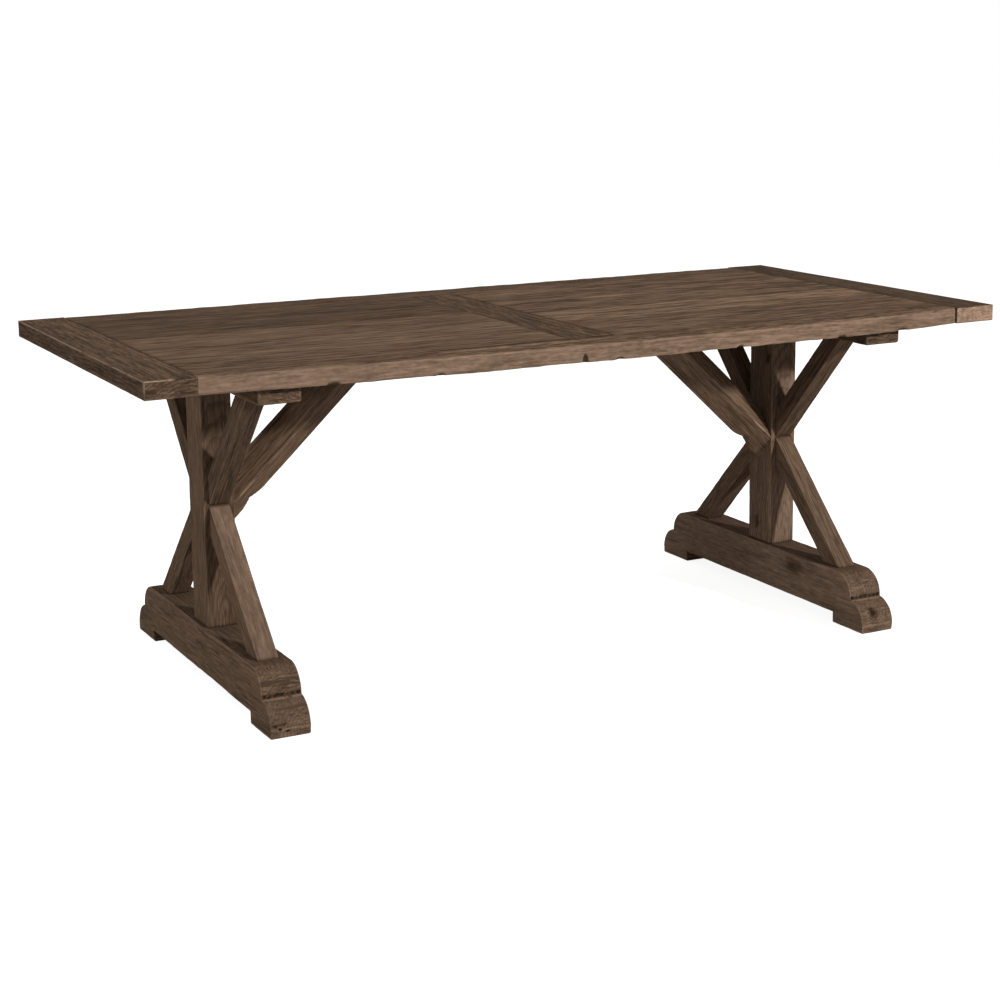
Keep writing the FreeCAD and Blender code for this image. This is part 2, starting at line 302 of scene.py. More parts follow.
def timber_piece(name, vertices, faces, grain, marks, material):
    """A timber's mesh with its marks as attributes, on the part's body in place of its CAD node."""
    mesh = bpy.data.meshes.new(name)
    mesh.from_pydata(vertices.tolist(), [], faces)
    normals = np.zeros(3 * len(vertices), np.float32)
    mesh.vertex_normals.foreach_get("vector", normals)
    marks["end"] = np.abs(normals.reshape(-1, 3) @ grain)
    for label, values in marks.items():
        kind, field = ("FLOAT_VECTOR", "vector") if values.ndim == 2 else ("FLOAT", "value")
        mesh.attributes.new(label, kind, "POINT").data.foreach_set(field, values.astype(np.float32).ravel())
    mesh.polygons.foreach_set("use_smooth", [True] * len(mesh.polygons))
    mesh.set_sharp_from_angle(angle=math.radians(50))
    mesh.materials.append(material)
    mesh.update()
    piece = bpy.data.objects.new("worn_" + name, mesh)
    bpy.context.scene.collection.objects.link(piece)
    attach(piece, "root")
    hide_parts(name)


def timber(
    name,
    bottom,
    top,
    low,
    high,
    material,
    slot,
    grain=None,
    radii=(0.002, 0.002, 0.002, 0.002),
    worn=0.5,
    rough=(0.0004, 0.0004, 0.0004, 0.0004),
    steps=(10, 6),
    end_ease=0.002,
    chips=(),
    checks=(),
    pits=(),
    tone=1.0,
    bare=(0, 0, 0, 0),
    rub=(0.2, 0.2, 0.2, 0.2),
    end_bare=0.0,
    end_tone=1.0,
    end_dirt=0.0,
    figured=0.0,
    heart=None,
    slant=0.0,
    shape=None,
):
    """A worn timber lofted through stations, each a line from a bottom point to a top point.

    At a station it reaches from low to high across. The sides are numbered 0 bottom, 1 high, 2 top, 3 low,
    and the arrises 0 low bottom, 1 high bottom, 2 high top, 3 low top. Radii round the arrises, rub bares
    them, or darkens them with dirt where it is below zero, and chips open them. Checks are drying cracks,
    and pits are knots, holes and dents, and patches of painted light and painted shade. Tone and shade
    lightens or darkens the wood, and darkens a part as painted shade where it lies in shadow. Bare and lit
    shows the paler wood under the finish on each side, and paints light where a side is lit. Ends have their
    own share of both, and painted shade where they meet another timber. Heart is where the tree's middle
    lies and how it leans, and figured shows its rings. A slant leans a station along the timber for each
    metre across, and shape is a last change to the vertices' places.
    """
    dice = random.Random(name)
    seeds = [dice.uniform(-90, 90) for _ in range(7)]

    # Stations and axes
    bottom = np.array(bottom, float)
    top = np.array(top, float)
    low, high, slant = (np.broadcast_to(np.array(v, float), len(bottom)) for v in (low, high, slant))
    bottom, top, low, high, slant, inset = eased_ends(bottom, top, low, high, slant, end_ease)
    middle = (bottom + top) / 2
    way = middle[-1] - middle[0]
    way = way / np.linalg.norm(way)
    grain = way if grain is None else np.array(grain, float)
    height = np.linalg.norm(top - bottom, axis=1)
    upward = (top - bottom) / height[:, None]
    across = np.cross(upward.mean(0), way)
    across = across / np.linalg.norm(across)
    local_axes = np.stack([grain, across, np.cross(grain, across)], 1)
    distance = middle @ grain
    low = low + inset
    high = high - inset
    floor = inset
    ceiling = height - inset

    # Rings of points round the timber
    widest = 0.48 * np.minimum(high - low, ceiling - floor)
    radius = worn_radii(distance, radii, worn, chips, seeds, widest)
    columns, m, n = ring_columns(
        low, high, floor, ceiling, radius, distance, checks, steps, rough, bare, rub,
    )
    rings = (len(bottom), len(columns))
    y, p, sink, reach, rubbed = (np.stack([column[k] for column in columns], 1) for k in (0, 1, 3, 4, 7))
    normal, amount, bared = (np.array([column[k] for column in columns]) for k in (2, 5, 6))
    outward = across * normal[:, 0, None] + upward[:, None] * normal[:, 1, None]
    points = bottom[:, None] + upward[:, None] * p[:, :, None] + across * y[:, :, None]
    points = points + way * (slant[:, None] * y)[:, :, None]
    local = points.reshape(-1, 3) @ local_axes
    swell = 0.7 * ripple(local, 7, 22, seeds[4]) + 0.3 * ripple(local, 30, 70, seeds[5])
    points = points + outward * (amount * swell.reshape(rings) - sink)[:, :, None]
    end_reach = np.minimum(np.abs(distance - distance[0]), np.abs(distance - distance[-1]))
    # Painted shade at the ends where they meet another timber, kept with the darkness of the checks
    sink = np.maximum(sink / dark_depth, end_dirt * np.exp(-((end_reach / dirt_and_shade_reach) ** 2))[:, None])
    vertices, faces, cap_reach = skin(points, m, n)

    def spread(on_rings, on_ends):
        """A value for each vertex: those of the rings, then those of the ends."""
        shares = (np.broadcast_to(on_rings, rings).ravel(), np.broadcast_to(on_ends, cap_reach.shape))
        return np.concatenate(shares)

    # Marks
    reach = spread(np.minimum(reach, end_reach[:, None]), cap_reach)
    rubbed = spread(rubbed, np.mean(rub))
    wear = np.maximum(rubbed, 0) * np.exp(-((reach / wear_reach) ** 2))
    dirt = np.maximum(-rubbed, 0) * np.exp(-((reach / dirt_and_shade_reach) ** 2))
    dark = np.maximum(spread(np.clip(sink, 0, 1), 0), dirt)
    if shape is not None:
        vertices = shape(vertices)
    local = vertices @ local_axes
    vertices, dark, bared, wear = press(vertices, local, pits, dark, spread(bared, end_bare), wear)

    # The tree's heart
    turn = dice.uniform(0, 2 * math.pi)
    far = dice.uniform(0.05, 0.14)
    pith = (far * math.cos(turn), far * math.sin(turn))
    lean = [dice.uniform(-0.03, 0.03) for _ in range(2)]
    centre = middle.mean(0) @ local_axes
    grain_place = local - centre + (seeds[6], pith[0], pith[1])
    if heart is not None:
        pith, lean = heart
    along = local[:, 0] - centre[0]
    from_heart = np.hypot(
        local[:, 1] - centre[1] - pith[0] + lean[0] * along,
        local[:, 2] - centre[2] - pith[1] + lean[1] * along,
    )

    marks = {
        "grain": grain_place,
        "heart": from_heart,
        "figure": np.full(len(vertices), figured),
        "wear": wear,
        "dark": dark,
        "bare": bared,
        "tone": spread(tone, tone * end_tone),
    }
    timber_piece(name, vertices, faces, grain, marks, material)


def stops(start, end, spacing, fine=(), fine_spacing=0.002, fine_reach=0.012):
    """Places along a line at an even spacing, closer together around marked places."""
    places = list(np.linspace(start, end, max(3, round((end - start) / spacing) + 1)))
    for place in fine:
        places += list(np.arange(place - fine_reach, place + fine_reach, fine_spacing))
    kept = [start]
    for place in sorted(places):
        if place - kept[-1] > fine_spacing * 0.6 and place < end - fine_spacing * 0.6:
            kept.append(place)
    return kept + [end]


def board(name, low, high, axis, material, slot, spacing=0.012, fine=(), trim=seam, **looks):
    """A straight timber between two corners, with its grain along an axis: 0 X, 1 Y or 2 Z."""
    low = np.array(low, float)
    high = np.array(high, float)
    low[axis] += trim
    high[axis] -= trim
    up = Y if axis == 2 else Z
    across = np.cross(up, np.eye(3)[axis])
    middle = (low + high) / 2
    half = (high - low) / 2
    places = stops(low[axis], high[axis], spacing, fine)
    centres = np.array([middle + np.eye(3)[axis] * (place - middle[axis]) for place in places])
    rise = up * (half @ up)
    width = abs(half @ across) - trim
    timber(name, centres - rise, centres + rise, -width, width, material, slot, **looks)


# Node materials
def put(tree, kind, values=(), **settings):
    """Adds a node, sets or links its inputs in order, and returns its first output."""
    made = tree.nodes.new(kind)
    for key, value in settings.items():
        setattr(made, key, value)
    for socket, value in zip(made.inputs, values):
        if isinstance(value, bpy.types.NodeSocket):
            tree.links.new(value, socket)
        elif value is not None:
            socket.default_value = value
    return made.outputs[0]


def blend(tree, factor, first, second, kind="MIX"):
    """A mix of two colours."""
    made = tree.nodes.new("ShaderNodeMix")
    made.data_type = "RGBA"
    made.blend_type = kind
    for k, value in ((0, factor), (6, first), (7, second)):
        if isinstance(value, bpy.types.NodeSocket):
            tree.links.new(value, made.inputs[k])
        else:
            made.inputs[k].default_value = value
    return made.outputs[2]


def maths(tree, operation, *values):
    return put(tree, "ShaderNodeMath", values, operation=operation)


def ramp(tree, value, levels):
    """A value turned into a colour by levels of (place, colour)."""
    made = tree.nodes.new("ShaderNodeValToRGB")
    tree.links.new(value, made.inputs[0])
    elements = made.color_ramp.elements
    while len(elements) < len(levels):
        elements.new(0.5)
    for element, (place, colour) in zip(elements, levels):
        element.position = place
        element.color = colour
    return made.outputs[0]


def grey(level):
    return (level, level, level, 1)


def noise_node(tree, vector, scale, detail=2.0, roughness=0.5, kind=0):
    """Noise stretched by a scale vector: its value, or its colour where kind is 1."""
    scaled = put(tree, "ShaderNodeVectorMath", (vector, scale), operation="MULTIPLY")
    value = put(tree, "ShaderNodeTexNoise", (scaled, None, 1.0, detail, roughness))
    return value.node.outputs[kind]


def shader(material):
    """An empty node tree with a Principled shader, and that shader."""
    material.use_nodes = True
    tree = material.node_tree
    return tree, next(node for node in tree.nodes if node.type == "BSDF_PRINCIPLED")


def tinted(colour, share):
    return tuple(channel * share for channel in colour) + (1,)


def mark(tree, label):
    """The node of a mesh attribute."""
    return put(tree, "ShaderNodeAttribute", attribute_name=label).node


def end_grain(tree, bent, share, base, blotch, colour, late):
    """Calmer, flecked and cracked wood on the ends: its colour and its dark share."""
    calm_end = ramp(tree, blotch, [(0.3, tinted(base, 0.7)), (0.7, tinted(base, 1.3))])
    colour = blend(tree, maths(tree, "MULTIPLY", share, 0.45), colour, calm_end)
    pale = ramp(tree, noise_node(tree, bent, (150, 35, 200), 1), [(0.58, grey(0)), (0.63, grey(0.6))])
    colour = blend(tree, maths(tree, "MULTIPLY", pale, share), colour, tinted(base, 2.0))
    for scale in ((65, 9, 80), (150, 26, 210)):
        level = noise_node(tree, bent, scale, 2, 0.6)
        level = ramp(tree, level, [(0.38, grey(1)), (0.42, grey(0))])
        late = maths(tree, "MAXIMUM", late, maths(tree, "MULTIPLY", level, share))
    return colour, late


def aged(tree, place, base, bare_colour, colour):
    """A timber's colour with its bare patches and painted light, rubbed arrises, own tone with painted
    shade, and dark marks of dirt and painted shade.
    """
    fleck = noise_node(tree, place, (7, 34, 34), 3, 0.6)
    lift = ramp(tree, fleck, [(0.3, grey(0.4)), (0.55, grey(1))])
    # Bare and lit: paler bare wood, and painted light where a side or a patch is lit
    bare_share = maths(tree, "MULTIPLY", mark(tree, "bare").outputs["Fac"], lift)
    bare_and_lit_mix = blend(tree, 1.0, colour, tinted([b / c for b, c in zip(bare_colour, base)], 1.0), "MULTIPLY")
    spots = noise_node(tree, place, (45, 110, 110), 3, 0.7)
    mottled = ramp(tree, spots, [(0.35, tinted(bare_colour, 0.7)), (0.65, tinted(bare_colour, 1.3))])
    bare_and_lit_mix = blend(tree, 0.6, bare_and_lit_mix, mottled)
    colour = blend(tree, bare_share, colour, bare_and_lit_mix)
    rub = ramp(tree, noise_node(tree, place, (14, 50, 50), 3, 0.6), [(0.33, grey(0)), (0.5, grey(1))])
    rub = maths(tree, "MULTIPLY", mark(tree, "wear").outputs["Fac"], rub)
    colour = blend(tree, rub, colour, tinted(bare_colour, 2.2))
    # Own tone, which also darkens some parts as painted shade
    tone = put(tree, "ShaderNodeCombineXYZ", [mark(tree, "tone").outputs["Fac"]] * 3)
    colour = blend(tree, 1.0, colour, tone, "MULTIPLY")
    return blend(tree, mark(tree, "dark").outputs["Fac"], colour, tinted(base, 0.14))


def finish_shader(tree, bsdf, colour, roughness, height, strength, distance):
    """Links a colour, a roughness and a bump of some strength and depth to a shader."""
    bump = tree.nodes.new("ShaderNodeBump")
    bump.inputs["Strength"].default_value = strength
    bump.inputs["Distance"].default_value = distance
    tree.links.new(height, bump.inputs["Height"])
    tree.links.new(bump.outputs["Normal"], bsdf.inputs["Normal"])
    tree.links.new(colour, bsdf.inputs["Base Color"])
    tree.links.new(roughness, bsdf.inputs["Roughness"])


def wood(name, base, bare_colour, streaks, contrast, figure, from_mesh=True):
    """Matt weathered wood: growth rings, streaks, hairlines, worn arrises, dark checks, bare patches, and
    the painted light and painted shade that the meshes carry.

    The streaks are counted per metre across the grain.
    """
    material = bpy.data.materials.new(name)
    tree, bsdf = shader(material)

    def grained(along, across, detail=2.0, roughness=0.5):
        return noise_node(tree, bent, (along, across, across), detail, roughness)

    if from_mesh:
        place = mark(tree, "grain").outputs["Vector"]
    else:
        place = put(tree, "ShaderNodeTexCoord").node.outputs["Object"]
    swirl = noise_node(tree, place, (2.2, 11, 11), 2, 0.5, 1)
    swirl = put(tree, "ShaderNodeVectorMath", (swirl, (0.5, 0.5, 0.5)), operation="SUBTRACT")
    swirl = put(tree, "ShaderNodeVectorMath", (swirl, (0, 0.016, 0.016)), operation="MULTIPLY")
    bent = put(tree, "ShaderNodeVectorMath", (place, swirl), operation="ADD")

    # Growth rings, strongest on end grain
    if from_mesh:
        far = mark(tree, "heart").outputs["Fac"]
    else:
        flat = put(tree, "ShaderNodeVectorMath", (place, (0, 1, 1)), operation="MULTIPLY")
        far = put(tree, "ShaderNodeVectorMath", (flat,), operation="LENGTH").node.outputs["Value"]
    far = maths(tree, "MULTIPLY_ADD", noise_node(tree, place, (9, 30, 30)), 0.012, far)
    rings = maths(tree, "FRACT", maths(tree, "MULTIPLY", far, rings_per_metre))
    late = ramp(tree, rings, [(0, grey(0)), (0.45, grey(0.1)), (0.85, grey(1)), (1, grey(0))])
    patchy = ramp(tree, noise_node(tree, place, (1.7, 8, 8)), [(0.4, grey(0.15)), (0.65, grey(1))])
    ring_share = maths(tree, "MULTIPLY", patchy, figure)
    if from_mesh:
        across_grain = ramp(tree, mark(tree, "end").outputs["Fac"], [(0.5, grey(0)), (0.8, grey(1))])
        ring_share = maths(tree, "MAXIMUM", ring_share, maths(tree, "MULTIPLY", across_grain, 0.7))
        ring_share = maths(tree, "MAXIMUM", ring_share, mark(tree, "figure").outputs["Fac"])
    late = maths(tree, "MULTIPLY", late, ring_share)

    # Blotches, then streaks and flecks along the grain, dark hairlines and light scratches
    broad = grained(1.6, 9)
    blotch = grained(7, 34, 3, 0.65)
    middle = grained(streaks * 0.08, streaks, 2, 0.6)
    fine = grained(streaks * 0.17, streaks * 2.4, 2, 0.6)
    flecks = grained(streaks * 0.4, streaks * 3.6, 3, 0.6)
    streak = maths(tree, "MULTIPLY", middle, 0.12)
    for layer, weight in ((broad, 0.15), (blotch, 0.12), (fine, 0.22), (flecks, 0.39)):
        streak = maths(tree, "MULTIPLY_ADD", layer, weight, streak)
    reach = 0.13 / contrast
    colour = ramp(tree, streak, [
        (0.5 - reach, tinted(base, 0.5)),
        (0.5, tinted(base, 1.0)),
        (0.5 + reach, tinted(base, 1.55)),
    ])
    scratch = ramp(tree, grained(streaks * 0.12, streaks * 2.2, 1), [(0.62, grey(0)), (0.66, grey(1))])
    colour = blend(tree, maths(tree, "MULTIPLY", scratch, 0.5), colour, tinted(base, 1.9))
    hair = ramp(tree, grained(streaks * 0.09, streaks * 2.2, 1), [(0.35, grey(1)), (0.39, grey(0))])
    colour = blend(tree, maths(tree, "MULTIPLY", hair, 0.7), colour, tinted(base, 0.33))
    if from_mesh:
        colour, late = end_grain(tree, bent, across_grain, base, blotch, colour, late)
    colour = blend(tree, late, colour, tinted(base, 0.38))
    if from_mesh:
        colour = aged(tree, place, base, bare_colour, colour)

    roughness = put(tree, "ShaderNodeMapRange", (middle, 0.3, 0.7, 0.7, 0.9))
    height = maths(tree, "MULTIPLY_ADD", fine, 0.5, maths(tree, "MULTIPLY", middle, 0.7))
    height = maths(tree, "SUBTRACT", height, maths(tree, "MULTIPLY", late, 0.2))
    height = maths(tree, "SUBTRACT", height, maths(tree, "MULTIPLY", hair, 0.5))
    finish_shader(tree, bsdf, colour, roughness, height, strength=0.4, distance=0.001)
    bsdf.inputs["Specular IOR Level"].default_value = 0.01
    return material


def aged_steel(name):
    """Dark oxidised steel with a brown bloom."""
    material = bpy.data.materials.new(name)
    tree, bsdf = shader(material)
    place = put(tree, "ShaderNodeTexCoord").node.outputs["Object"]
    bloom = noise_node(tree, place, (180, 180, 180), 4, 0.6)
    pitting = noise_node(tree, place, (900, 900, 900), 2, 0.6)
    colour = ramp(tree, bloom, [
        (0.35, (0.075, 0.072, 0.07, 1)),
        (0.6, (0.05, 0.045, 0.042, 1)),
        (0.75, (0.11, 0.06, 0.035, 1)),
    ])
    metal = ramp(tree, bloom, [(0.5, grey(0.9)), (0.75, grey(0.15))])
    roughness = put(tree, "ShaderNodeMapRange", (bloom, 0.3, 0.75, 0.38, 0.75))
    finish_shader(tree, bsdf, colour, roughness, pitting, strength=0.3, distance=0.0003)
    tree.links.new(metal, bsdf.inputs["Metallic"])
    return material


# Arris radii and ripples of the top's flat boards, and the colours of finished, hidden and bare wood; the
# bare colour is also the colour of painted light
crisp = (0.0012, 0.0012, 0.0014, 0.0014)
calm = (0.0004, 0.0003, 0.0005, 0.0003)
brown = (0.115, 0.0725, 0.0458)
fresh_brown = (0.13, 0.085, 0.057)
tan = (0.200, 0.131, 0.090)
plank_woods = {
    "left": wood("plank_wood_left", brown, tan, streaks=45, contrast=1.6, figure=0.3),
    "right": wood("plank_wood_right", brown, tan, streaks=38, contrast=2.5, figure=0.4),
}
frame_wood = wood("frame_wood", brown, tan, streaks=80, contrast=1.9, figure=0.4)
trestle_wood = wood("trestle_wood", brown, tan, streaks=95, contrast=1.15, figure=0.4)
joinery_wood = wood("joinery_wood", fresh_brown, tan, streaks=95, contrast=1.0, figure=0.3, from_mesh=False)
bolt_steel = aged_steel("bolt_steel")


# Marks of age, and patches of painted light and painted shade
def on(node, x, y, z):
    """A place measured from the low corner of a node's box."""
    return np.add(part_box(node)[0], (x, y, z))


def chip(arris, at, length, depth):
    return {"arris": arris, "at": at, "length": length, "depth": depth}


def crack(side, at, start, end, width):
    return {"side": side, "at": at, "from": start, "to": end, "width": width}


def pit(at, size, push=(0, 0, 0), dark=1.0, bare=0.0, worn=0.0):
    return {"at": np.array(at), "size": size, "push": push, "dark": dark, "bare": bare, "worn": worn}


# Top
def build_breadboard(name, tone, rub, end_bare, **looks):
    low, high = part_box(name)
    board(
        name, low, high, 1, frame_wood, "frame_boards",
        trim=0.0, radii=(0.0018, 0.0018, 0.0018, 0.0018), rough=calm, steps=(14, 8),
        end_ease=0.0015, tone=tone, rub=rub, end_bare=end_bare, **looks,
    )


def build_front_edge(start, end, under, over):
    """The front edge board: worn round, chipped, and hanging a little lower between its ends."""
    low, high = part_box("edge_board_front")

    def fall(x):
        share = x / np.where(x < 0, start, end)
        return front_sag * (1 - np.clip(share, 0, 1) ** np.where(x < 0, 2, 6))

    def sagging(points):
        out = np.clip((high.y - points[:, 1]) / (high.y - low.y), 0, 1)
        points[:, 2] -= fall(points[:, 0]) * out**1.4
        return points

    nicks = ((-0.653, 0.030), (-0.413, 0.022), (0.017, 0.026), (0.33, 0.020), (0.61, 0.026), (0.785, 0.035))
    knot_x = -0.069
    chip_x = 0.09
    knot = (knot_x, low.y, under - fall(knot_x) + 0.004)
    pits = [pit(knot, (0.008, 0.012, 0.019), (0, 0.004, 0), 0.85)]
    for x, length in nicks:
        place = (x, low.y + 0.002, under - fall(x) + 0.001)
        pits.append(pit(place, (length / 2, 0.012, 0.007), (0, 0.001, 0), 0.75))
    pits.append(pit((dark_seam_x, high.y, over), (0.26, 0.007, 0.01), dark=0.65))
    worn_seam = (dark_seam_x, high.y - 0.015, over - 0.002)
    pits.append(pit(worn_seam, (0.24, 0.007, 0.01), dark=0.0, worn=0.25))
    board(
        "edge_board_front", (start, low.y, under), (end, high.y, over),
        0, frame_wood, "frame_boards",
        spacing=0.006, fine=[knot_x, chip_x] + [x for x, length in nicks],
        radii=(0.0035, 0.0012, 0.0014, 0.009), worn=0.8,
        rough=(0.0008, 0.0003, 0.0007, 0.0016), steps=(12, 12), end_ease=0.0008,
        bare=(0.3, 0, 0.0, 0.9), rub=(0.3, 0.2, -0.5, 0.25), tone=1.1, shape=sagging,
        chips=[chip(0, x, length, 0.004) for x, length in nicks] + [chip(3, chip_x, 0.045, 0.006)],
        pits=pits,
    )


def build_plank(name, material, x0, x1, under, over, tone, checks, pits):
    low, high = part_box(name)
    middle = (low.y + high.y) / 2
    board(
        name, (x0, low.y, under), (x1, high.y, over), 0, material, "planks",
        radii=crisp, rough=calm, steps=(16, 5), end_ease=0.001, tone=tone, rub=(0.1, 0.1, -0.25, -0.25),
        pits=pits,
        checks=[crack(2, y - middle, start, end, width) for y, start, end, width in checks],
    )


def build_top():
    left_low, left_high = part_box("breadboard_left")
    right_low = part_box("breadboard_right")[0]
    cross_low, cross_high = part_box("cross_board")
    under, over = left_low.z, left_high.z
    front_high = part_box("edge_board_front")[1]
    back_low, back_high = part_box("edge_board_back")

    # Painted shade over the whole outer end face of the left breadboard
    shaded_end = pit((left_low.x, 0, (under + over) / 2), (0.004, 0.8, 0.05), dark=0.3)
    build_breadboard(
        "breadboard_left", tone=0.95, rub=(-0.3, 0.4, 1.0, -0.4), end_bare=0.1, pits=[shaded_end],
    )
    build_breadboard(
        "breadboard_right", tone=0.55, rub=(0.3, 0.2, -0.1, 0.5), end_bare=1.0, end_tone=2.7,
        fine=(right_low.y + 0.012,),
    )
    board(
        "cross_board",
        (cross_low.x, front_high.y, under),
        (cross_high.x, back_low.y, over),
        1, frame_wood, "frame_boards", radii=crisp, rough=calm, steps=(14, 6), end_ease=0.001, tone=0.86,
        rub=(0.1, 0.1, -0.3, -0.9),
    )
    build_front_edge(left_high.x, right_low.x, under, over)
    board(
        "edge_board_back",
        (left_high.x, back_low.y, under),
        (right_low.x, back_high.y, over),
        0, frame_wood, "frame_boards",
        spacing=0.01, radii=(0.0014, 0.003, 0.007, 0.0014), worn=0.9,
        rough=(0.0006, 0.0014, 0.0006, 0.0003), steps=(12, 8), end_ease=0.0015,
        bare=(0.3, 0.7, 0, 0), rub=(0.1, 0.3, 0.3, 0.1), tone=0.9,
    )
    left_tones = (1.16, 1.25, 1.13, 0.83, 0.8)
    right_tones = (1.0, 1.4, 1.0, 1.06, 1.08)
    # Cracks as Y, first X, last X and width
    cracks = {
        "plank_left_3": [(0.045, -0.5, -0.1, 0.003)],
        "plank_left_4": [(0.085, -0.78, -0.42, 0.003), (0.21, -0.26, -0.14, 0.003)],
        "plank_right_3": [(0.112, 0.14, 0.27, 0.003)],
    }
    marks = {
        "plank_left_4": [
            pit((-0.62, 0.100, over), (0.13, 0.009, 0.01), dark=0.5),
            pit((-0.33, 0.096, over), (0.16, 0.008, 0.01), dark=0.5),
            pit((-0.20, 0.210, over), (0.08, 0.011, 0.01), dark=0.55),
        ],
        "plank_left_1": [pit((dark_seam_x, front_high.y, over), (0.26, 0.008, 0.01), dark=0.65)],
        "plank_right_3": [pit((0.20, 0.116, over), (0.07, 0.010, 0.01), dark=0.55)],
        "plank_right_4": [pit((0.35, 0.137, over), (0.12, 0.012, 0.01), dark=0.0, worn=0.35)],
    }
    for panel, tones, x0, x1 in (
        ("left", left_tones, left_high.x, cross_low.x),
        ("right", right_tones, cross_high.x, right_low.x),
    ):
        for i, tone in enumerate(tones):
            name = "plank_%s_%d" % (panel, i + 1)
            build_plank(
                name, plank_woods[panel], x0, x1, under, over, tone,
                cracks.get(name, []), marks.get(name, []),
            )


# Trestles
def foot_stations(high):
    """Bottom and top points of a foot, from its front end to its back end."""
    half = high.y
    radius = (high.z - toe_height - lobe_drop) / 2
    lower_y = half - radius
    upper_end = lower_y + lobe_inset
    upper_y = upper_end - radius
    upper_z = high.z - radius
    crest_turn = math.acos(lobe_inset / radius)
    pad = half - pad_length
    stations = []
    lobe_steps = 22
    for k in range(lobe_steps + 1):
        share = k / lobe_steps
        turn = crest_turn * share
        stations.append((
            (half - (half - upper_end) * share, 0),
            (lower_y + radius * math.cos(turn), toe_height + radius * math.sin(turn)),
        ))
    for k in range(lobe_steps + 1):
        share = k / lobe_steps
        turn = math.pi / 2 * share
        y = upper_end - 0.001 - (radius - 0.001) * share
        stations.append(((y, 0), (upper_y + radius * math.cos(turn), upper_z + radius * math.sin(turn))))
    stations.append(((pad + 0.0005, 0), (pad + 0.0005, high.z)))
    stations.append(((pad, pad_height), (pad - 0.0005, high.z)))
    for y in stops(-pad + 0.012, pad - 0.012, 0.012)[::-1]:
        stations.append(((y, pad_height), (y, high.z)))
    for (by, bz), (ty, tz) in [stations[i] for i in range(2 * lobe_steps + 3, -1, -1)]:
        stations.append(((-by, bz), (-ty, tz)))
    return stations[::-1]


def build_foot(name, side_bare, pits):
    low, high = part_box(name)
    x = (low.x + high.x) / 2
    half = (high.x - low.x) / 2
    stations = foot_stations(high)
    bottom, top = ([(x, *station[k]) for station in stations] for k in (0, 1))
    radius = (high.z - toe_height - lobe_drop) / 2
    step = np.array((x, low.y + radius - lobe_inset, toe_height + radius))
    lip = pit(step + (0, -0.008, -0.001), (0.07, 0.004, 0.003), dark=0.0, worn=0.5)
    pits = pits + [lip, pit(step + (0, 0, 0.002), (0.07, 0.006, 0.003), (0, 0.001, 0), 0.4)]
    dot_lengths = (0.006, 0.003, 0.005, 0.007, 0.003, 0.004, 0.006)
    dot_spacing = 0.0125
    for k, length in enumerate(dot_lengths):
        place = step + (dot_spacing * (k - len(dot_lengths) // 2), 0, 0.003)
        pits.append(pit(place, (length, 0.006, 0.0045), (0, 0.003, 0), 0.9))
    # Painted light: the high side and the top of the foot are made paler where light falls on them
    timber(
        name, bottom, top, -half, half, trestle_wood, "trestle_wood",
        grain=Y, radii=(0.003, 0.003, 0.003, 0.003), worn=0.5, steps=(28, 14), end_ease=0.003,
        rough=(0.0004, 0.0008, 0.0008, 0.0008), pits=pits, end_bare=0.3, bare=(0, side_bare, 0.3, 0),
    )


def build_arm(name, bare, tone):
    """One arm of the X, between the post's face and the bearer or the foot."""
    low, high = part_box(name)
    x = (low.x + high.x) / 2
    half = (high.x - low.x) / 2
    front = 1 if low.y > 0 else -1
    near, far = (low.y, high.y) if front > 0 else (high.y, low.y)
    upper = "upper" in name
    start = np.array((x, near, low.z if upper else high.z))
    end = np.array((x, far, high.z if upper else low.z))
    way = end - start
    length = np.linalg.norm(way)
    rise = arm_thickness * length / abs(way[1]) * math.copysign(1, way[2])
    run = arm_thickness * length / abs(way[2]) * front
    places = np.concatenate([(0, 0.008, 0.016), np.linspace(0.03, 0.97, 38), (0.984, 0.992, 1)])[:, None]
    outer = start + way * places
    inner_start = start + Z * rise
    inner = inner_start + (end - Y * run - inner_start) * places
    timber(
        name, outer, inner, -half, half, trestle_wood, "trestle_wood",
        grain=way / length, radii=(0.003, 0.003, 0.003, 0.003), steps=(8, 8), end_ease=0.0006,
        rough=(0.0006, 0.0006, 0.0006, 0.0006), bare=(bare, 0, 0, 0), tone=tone, end_dirt=0.8,
    )


def arc_points(start, middle, end, count):
    """Points on the arc through three points of a plane."""
    (ax, ay), (bx, by), (cx, cy) = start, middle, end
    d = 2 * (ax * (by - cy) + bx * (cy - ay) + cx * (ay - by))
    ux = ((ax**2 + ay**2) * (by - cy) + (bx**2 + by**2) * (cy - ay) + (cx**2 + cy**2) * (ay - by)) / d
    uy = ((ax**2 + ay**2) * (cx - bx) + (bx**2 + by**2) * (ax - cx) + (cx**2 + cy**2) * (bx - ax)) / d
    radius = math.hypot(ax - ux, ay - uy)
    first = math.atan2(ay - uy, ax - ux)
    swing = (math.atan2(cy - uy, cx - ux) - first + math.pi) % (2 * math.pi) - math.pi
    turns = [first + swing * k / count for k in range(count + 1)]
    return [(ux + radius * math.cos(t), uy + radius * math.sin(t)) for t in turns]


def lobe_points(start, end, bulge, count):
    """Points on an arc between two points of a side view, bulging downward from its chord."""
    chord = np.subtract(end, start)
    down = np.array((chord[1], -chord[0])) / np.linalg.norm(chord)
    down = down if down[1] < 0 else -down
    return arc_points(start, np.add(start, end) / 2 + down * bulge, end, count)


